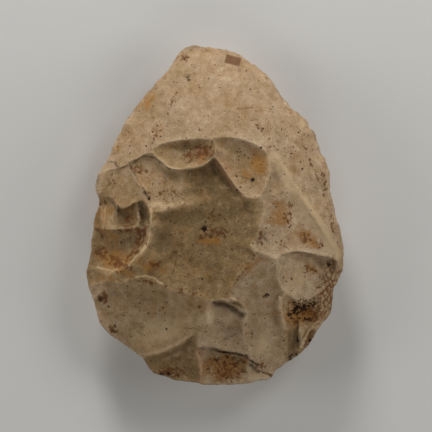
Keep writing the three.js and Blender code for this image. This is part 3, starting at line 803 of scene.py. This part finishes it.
# Patina of the flint. Colours are red, green and blue from 0 to 255, and sizes are in millimetres.
flint = {
    "colours": {
        "dark": (86, 66, 38), "olive": (130, 105, 70), "tan": (169, 138, 95), "cream": (199, 170, 137),
        "bleached": (216, 191, 155), "ochre": (172, 120, 56), "rust": (114, 68, 32), "soot": (26, 15, 6),
        "line": (36, 21, 9), "pink": (176, 124, 94), "grey": (152, 142, 120), "crust": (192, 166, 128),
        "pale": (216, 186, 144), "tipPatch": (116, 76, 48), "shade": (84, 66, 42),
    },
    "ramp": {"dark": 0.1, "olive": 0.4, "tan": 0.65, "cream": 0.9, "bleached": 1},
    "cloudSize": 11, "mottleSize": 2.4, "grainSize": 0.5,
    "cloudStrength": 0.1, "mottleStrength": 0.13, "grainStrength": 0.12,
    "blotchSize": 3.2, "fleckSize": 1.4, "speckleSize": 0.9, "driftSize": 8, "fineSize": 0.22,
    "warmth": 0.34, "coolness": 0.36,
    "patches": (              # size, how much of the noise stays clear of it, and colour
        (1.2, 0.58, "rust"), (4, 0.54, "shade"), (1.9, 0.56, "shade"), (2.3, 0.54, "pale"),
    ),
    "patchStrength": 0.75,
    "stains": {               # the noise that breaks each up, how ragged and how sharp it is, and its most
        "shade": ("blotch", 0.3, 1.3, 0.75), "grey": ("mottle", 0.3, 1.2, 0.45),
        "pink": ("blotch", 0.35, 1.4, 0.5), "pale": ("blotch", 0.3, 1.8, 0.8),
        "crust": ("blotch", 0.35, 2, 0.7), "ochre": ("blotch", 0.5, 2.2, 0.8),
        "rust": ("speckledFleck", 0.85, 2.8, 0.85),
    },
    "lastStains": {"soot": ("fleck", 0.6, 2.6, 0.92), "tipPatch": ("speckle", 0.16, 1.6, 0.85)},
    "edgeStain": 0.5,
    "veinSize": 2, "veinWander": 1.6, "veinStrength": 0.95,
    "specks": ((0.8, 0.46, 0.2, 0.8), (2.3, 0.26, 0.16, 0.85)),  # spacing, reach, share of places, strength
    "hollowShade": 0.14, "creaseShade": 0.85, "ridgeShine": 0.5, "lineStrength": 0.85,
    "polished": 0.42, "weathered": 0.66, "crusty": 0.88,         # roughness of the surface
    "bumpDepth": 0.15,
}
perMetre = 1000               # millimetres in a metre


def linear(colour):
    # the shader's values for a colour from 0 to 255
    return [c/3294.6 if c < 10.3 else ((c/255 + 0.055) / 1.055)**2.4 for c in colour] + [1]


def connect(tree, socket, value):
    # give a socket a value, or another node's output
    if isinstance(value, bpy.types.NodeSocket):
        tree.links.new(value, socket)
    else:
        socket.default_value = value


def node(tree, kind, settings=None, **inputs):
    # one node, with its sockets given by name, or by number after an underscore
    made = tree.nodes.new(kind)
    for key, value in (settings or {}).items():
        setattr(made, key, value)
    for key, value in inputs.items():
        connect(tree, made.inputs[int(key[1:]) if key[0] == "_" else key.replace("_", " ")], value)
    return made


def maths(tree, operation, *values, clamp=False):
    inputs = {f"_{k}": value for k, value in enumerate(values)}
    return node(tree, "ShaderNodeMath", {"operation": operation, "use_clamp": clamp}, **inputs).outputs[0]


def times(tree, value, by, plus=0, clamp=False):
    return maths(tree, "MULTIPLY_ADD", value, by, plus, clamp=clamp)


def blend(tree, amount, first, second):
    return node(tree, "ShaderNodeMix", {"data_type": "RGBA"}, _0=amount, _6=first, _7=second).outputs[2]


def noise(tree, size, detail, rough, distortion=0.0):
    at = node(tree, "ShaderNodeTexCoord").outputs["Object"]
    return node(tree, "ShaderNodeTexNoise", Vector=at, Scale=perMetre/size, Detail=detail, Roughness=rough,
                Distortion=distortion).outputs["Fac"]


def newGroup(name, inputs, outputs):
    group = bpy.data.node_groups.new(name, "ShaderNodeTree")
    for direction, names in (("INPUT", inputs), ("OUTPUT", outputs)):
        for socketName in names:
            group.interface.new_socket(socketName, in_out=direction, socket_type="NodeSocketFloat")
    return group, group.nodes.new("NodeGroupInput").outputs, group.nodes.new("NodeGroupOutput").inputs


def mottleGroup():
    # cloudy, mottled and grainy variation, each from -1 to 1
    sizes = ["cloudSize", "mottleSize", "grainSize"]
    group, given, result = newGroup("mottle", sizes, ["cloud", "mottle", "grain"])
    at = node(group, "ShaderNodeTexCoord").outputs["Object"]
    for name, detail in (("cloud", 3), ("mottle", 5), ("grain", 3)):
        scale = maths(group, "DIVIDE", perMetre, given[name + "Size"])
        field = node(group, "ShaderNodeTexNoise", Vector=at, Scale=scale, Detail=detail, Roughness=0.6)
        spread = times(group, field.outputs["Fac"], 4.4, -2.2)
        group.links.new(maths(group, "MINIMUM", maths(group, "MAXIMUM", spread, -1), 1), result[name])
    return group


def raggedGroup():
    # a soft mask broken up by noise, so that a stain ends in specks and tongues
    group, given, result = newGroup("ragged", ["mask", "noise", "raggedness", "sharpness"], ["mask"])
    bitten = times(group, given["noise"], given["raggedness"])
    present = maths(group, "MINIMUM", times(group, given["mask"], 4), 1)
    raised = times(group, bitten, present, given["mask"])
    centred = maths(group, "SUBTRACT", raised, 0.28)
    group.links.new(times(group, centred, given["sharpness"], clamp=True), result["mask"])
    return group


mottle = mottleGroup()
ragged = raggedGroup()


def patinatedFlint():
    material = bpy.data.materials.new("patinatedFlint")
    material.use_nodes = True
    tree = material.node_tree
    shader = tree.nodes["Principled BSDF"]
    colour = {name: linear(value) for name, value in flint["colours"].items()}
    at = node(tree, "ShaderNodeTexCoord").outputs["Object"]
    field = node(tree, "ShaderNodeGroup", {"node_tree": mottle}, cloudSize=flint["cloudSize"],
                 mottleSize=flint["mottleSize"], grainSize=flint["grainSize"]).outputs
    given = {name: node(tree, "ShaderNodeAttribute", {"attribute_name": name}).outputs["Fac"]
             for name in masks}

    # base colour runs from dark flint to bleached cream where it is worn, following the patina of each scar,
    # and painted shade darkens it in the wide hollows and lightens it on the broad bulges
    tone = given["tone"]
    for name in ("cloud", "mottle", "grain"):
        tone = times(tree, field[name], flint[name + "Strength"], tone)
    tone = maths(tree, "ADD", tone, 0.5*flint["hollowShade"])
    tone = times(tree, given["hollow"], -flint["hollowShade"], tone)
    ramp = node(tree, "ShaderNodeValToRGB", Fac=tone)
    stops = ramp.color_ramp.elements
    for k, (name, position) in enumerate(flint["ramp"].items()):
        stop = stops[k] if k < 2 else stops.new(position)
        stop.position = position
        stop.color = colour[name]
    base = ramp.outputs["Color"]

    def covered(base, mask, most, name):
        # the base colour under another one
        return blend(tree, times(tree, mask, most), base, colour[name])

    blotch = times(tree, noise(tree, flint["blotchSize"], 6, 0.7), 5, -2.5)
    speckle = times(tree, noise(tree, flint["speckleSize"], 5, 0.75), 6, -3)
    fleck = times(tree, noise(tree, flint["fleckSize"], 5, 0.66, 0.2), 6, -3)
    grains = {"blotch": blotch, "mottle": field["mottle"], "fleck": fleck, "speckle": speckle,
              "speckledFleck": times(tree, speckle, 0.35, fleck)}
    shown = {}

    def stained(base, name, grain, raggedness, sharpness, most):
        shown[name] = node(tree, "ShaderNodeGroup", {"node_tree": ragged}, mask=given[name],
                           noise=grains[grain], raggedness=raggedness, sharpness=sharpness).outputs["mask"]
        return covered(base, shown[name], most, name)

    drift = noise(tree, flint["driftSize"], 4, 0.6)
    warm = times(tree, drift, 5, -2.6, clamp=True)
    cool = times(tree, drift, -5, 2.4, clamp=True)
    base = covered(base, warm, flint["warmth"], "ochre")
    base = covered(base, cool, flint["coolness"], "olive")

    # brownish patches come and go all over it, finer and coarser, and fainter where it is bleached
    unbleached = times(tree, given["tone"], -1.7, 1.85, clamp=True)
    for size, clear, name in flint["patches"]:
        patch = maths(tree, "SUBTRACT", noise(tree, size, 5, 0.72, 0.6), clear)
        patch = times(tree, patch, 9, clamp=True)
        patch = times(tree, patch, times(tree, cool if name == "pale" else warm, 0.6, 0.4))
        base = covered(base, times(tree, patch, unbleached), flint["patchStrength"], name)
    for name, settings in flint["stains"].items():
        base = stained(base, name, *settings)
    edgeStain = node(tree, "ShaderNodeGroup", {"node_tree": ragged}, mask=times(tree, given["rim"], 0.6),
                     noise=blotch, raggedness=0.5, sharpness=1.6).outputs["mask"]
    base = covered(base, edgeStain, flint["edgeStain"], "rust")

    # brown veins through the crust
    warpNoise = node(tree, "ShaderNodeTexNoise", Vector=at, Scale=900, Detail=3).outputs["Color"]
    warp = node(tree, "ShaderNodeVectorMath", {"operation": "MULTIPLY_ADD"}, _0=warpNoise,
                _1=(flint["veinWander"]/perMetre,)*3, _2=at).outputs[0]
    web = node(tree, "ShaderNodeTexVoronoi", {"feature": "DISTANCE_TO_EDGE"}, Vector=warp,
               Scale=perMetre/flint["veinSize"]).outputs["Distance"]
    vein = times(tree, maths(tree, "SUBTRACT", 1, times(tree, web, 3.3), clamp=True), shown["crust"])
    base = covered(base, vein, flint["veinStrength"], "rust")

    # scattered brown specks, thicker where the blotches are: small ones close together, larger ones far apart
    specks = []
    for spacing, most, share, strength in flint["specks"]:
        cells = node(tree, "ShaderNodeTexVoronoi", Vector=warp, Scale=perMetre/spacing)
        parts = node(tree, "ShaderNodeSeparateColor", Color=cells.outputs["Color"]).outputs
        reach = times(tree, parts[0], most/share, most*(1 - 1/share))
        reach = times(tree, blotch, 0.09, reach)
        reach = times(tree, speckle, 0.06, reach)
        speck = times(tree, maths(tree, "SUBTRACT", reach, cells.outputs["Distance"]), 10, clamp=True)
        tint = blend(tree, parts[1], colour["soot"], colour["rust"])
        base = blend(tree, times(tree, speck, strength), base, tint)
        specks.append(speck)

    # painted shade in the creases, in the rust colour; ridges lighter from wear and a painted highlight; then
    # the darkest marks, with painted shadow lines among them, and the patch beside the tip
    base = covered(base, given["crease"], flint["creaseShade"], "rust")
    base = covered(base, given["ridge"], flint["ridgeShine"], "bleached")
    base = stained(base, "soot", *flint["lastStains"]["soot"])
    line = times(tree, given["line"], times(tree, speckle, 0.25, 1), clamp=True)
    base = covered(base, line, flint["lineStrength"], "line")
    base = stained(base, "tipPatch", *flint["lastStains"]["tipPatch"])
    tree.links.new(base, shader.inputs["Base Color"])

    # worn cream is duller than the dark glassy flint, and crust is duller still
    rough = node(tree, "ShaderNodeMapRange", _0=tone, _1=0.2, _2=0.95, _3=flint["polished"],
                 _4=flint["weathered"])
    rough = times(tree, shown["crust"], flint["crusty"] - flint["weathered"], rough.outputs[0])
    rough = times(tree, shown["rust"], 0.1, rough)
    tree.links.new(times(tree, field["grain"], 0.06, rough, clamp=True), shader.inputs["Roughness"])
    shader.inputs["IOR"].default_value = 1.54
    shader.inputs["Specular IOR Level"].default_value = 0.12

    # fine relief: grain, pitting and the broken crust
    height = times(tree, field["grain"], 0.35, noise(tree, flint["fineSize"], 3, 0.6))
    height = times(tree, field["mottle"], 0.5, height)
    height = times(tree, maths(tree, "MAXIMUM", *specks), -0.8, height)
    gritty = maths(tree, "MAXIMUM", shown["crust"], times(tree, shown["rust"], 0.6))
    height = times(tree, times(tree, speckle, gritty), 0.9, height)
    bump = node(tree, "ShaderNodeBump", Height=height, Strength=0.7, Distance=flint["bumpDepth"]/perMetre)
    tree.links.new(bump.outputs["Normal"], shader.inputs["Normal"])
    return material


mesh.materials.append(patinatedFlint())
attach(knappedAxe, "root")
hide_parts("hand_axe")

# Floor, camera and light

studio = {
    "lensMm": 150,            # a long lens, straight above
    "filmMm": 36,
    "viewWidth": 0.1525,      # what it sees at the level of the edge
    "offCentre": (0.0003, -0.0003),
    "worldLight": 0.04,
    "floor": (232, 230, 225),
    "floorReach": 3,
    "aimHeight": 0.02,        # the lamps point at this height above the floor
    "lamps": {                # place, size and power: soft lamps, low so that every ridge shows
        "tip": ((-0.12, 0.65, 0.24), 0.16, 2.9),
        "tipRight": ((0.4, 0.45, 0.45), 0.25, 1.05),
        "right": ((0.6, 0, 0.3), 0.3, 0.85),
        "left": ((-0.6, 0, 0.26), 0.3, 1),
        "butt": ((0.05, -0.6, 0.4), 0.3, 0.7),
    },
}
floorMesh = bpy.data.meshes.new("floor")
reach = studio["floorReach"]
floorMesh.from_pydata([(-reach, -reach, 0), (reach, -reach, 0), (reach, reach, 0), (-reach, reach, 0)],
                      [], [(0, 1, 2, 3)])
floor = bpy.data.objects.new("floor", floorMesh)
bpy.context.collection.objects.link(floor)
pale = bpy.data.materials.new("pale")
pale.use_nodes = True
pale.node_tree.nodes["Principled BSDF"].inputs["Base Color"].default_value = linear(studio["floor"])
floorMesh.materials.append(pale)

cameraData = bpy.data.cameras.new("camera")
cameraData.lens = studio["lensMm"]
cameraData.sensor_width = studio["filmMm"]
camera = bpy.data.objects.new("camera", cameraData)
bpy.context.collection.objects.link(camera)
middle = (low + high) / 2
distance = studio["viewWidth"] * studio["lensMm"] / studio["filmMm"]
camera.location = (middle.x + studio["offCentre"][0], middle.y + studio["offCentre"][1],
                   low.z + axe["edgeHeight"]/perMetre + distance)
bpy.context.scene.camera = camera

for name, (at, size, power) in studio["lamps"].items():
    lampData = bpy.data.lights.new(name, "AREA")
    lampData.size = size
    lampData.energy = power
    lamp = bpy.data.objects.new(name, lampData)
    bpy.context.collection.objects.link(lamp)
    lamp.location = at
    aim = Vector((0, 0, studio["aimHeight"])) - Vector(at)
    lamp.rotation_euler = aim.to_track_quat("-Z", "Y").to_euler()

world = bpy.data.worlds.new("studio")
world.use_nodes = True
world.node_tree.nodes["Background"].inputs[0].default_value = (1, 1, 1, 1)
world.node_tree.nodes["Background"].inputs[1].default_value = studio["worldLight"]
bpy.context.scene.world = world
bpy.context.scene.view_settings.view_transform = "Standard"
print("studio set")
